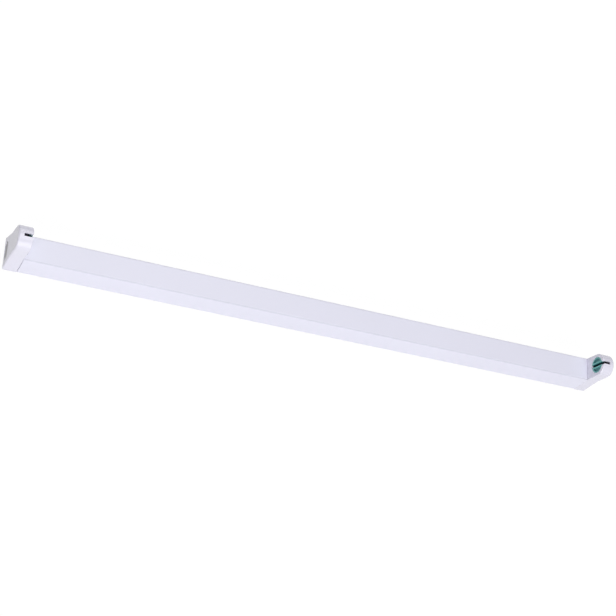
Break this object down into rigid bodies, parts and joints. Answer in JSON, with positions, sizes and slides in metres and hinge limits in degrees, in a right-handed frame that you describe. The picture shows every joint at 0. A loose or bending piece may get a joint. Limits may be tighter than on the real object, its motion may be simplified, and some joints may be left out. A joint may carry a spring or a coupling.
{
  "type": "tube light fixture",
  "caption": "Empty ceiling batten for one straight tube: folded white steel channel between two end caps with rotary lamp holders.",
  "frame": {"origin": "centre of the mounting face, in the plane that lies on the ceiling or wall", "axes": "+X along the tube, from the end with the leads to the other; +Z from the mounting face towards the tube; +Y across"},
  "size_m": [0.617, 0.03, 0.0515],
  "materials": {
    "painted_steel": "white powder coat, slightly blue",
    "zinc_steel": "zinc-plated sheet",
    "white_plastic": "moulded, satin",
    "teal_plastic": "moulded, satin",
    "bronze": "rolled strip",
    "clear_plastic": "natural, translucent",
    "zinc_screw": "zinc-plated",
    "brown_pvc": "extruded PVC",
    "blue_pvc": "extruded PVC",
    "green_pvc": "extruded PVC",
    "copper": "bare copper",
    "grey_rubber": "moulded rubber",
    "pale_rubber": "moulded rubber, pale grey"
  },
  "bodies": {
    "fixture": {"channel": "painted_steel", "back_plate": "zinc_steel", "left_cap": "white_plastic", "right_cap": "white_plastic", "left_end_plate": "white_plastic", "right_end_plate": "white_plastic", "left_near_contact": "bronze", "left_far_contact": "bronze", "right_near_contact": "bronze", "right_far_contact": "bronze", "terminal_block": "clear_plastic", "terminal_inserts": "bronze", "terminal_screws": "zinc_screw", "block_screws": "zinc_screw", "cap_screws": "zinc_screw", "earth_screw": "zinc_screw", "earth_washer": "zinc_screw", "earth_tag": "zinc_screw", "live_lead": "brown_pvc", "neutral_lead": "blue_pvc", "earth_lead": "green_pvc", "wire_ends": "copper", "lead_clips": "white_plastic", "cable_grommet": "grey_rubber", "entry_seals": "pale_rubber"},
    "left_rotor": {"left_rotor": "teal_plastic"},
    "right_rotor": {"right_rotor": "teal_plastic"}
  },
  "joints": [
    {"name": "left_rotor_turn", "type": "hinge", "parent": "fixture", "child": "left_rotor", "pos_m": [-0.2955, 0, 0.04], "axis": [1, 0, 0], "range_deg": [-90, 90]},
    {"name": "right_rotor_turn", "type": "hinge", "parent": "fixture", "child": "right_rotor", "pos_m": [0.2955, 0, 0.04], "axis": [1, 0, 0], "range_deg": [-90, 90]}
  ]
}
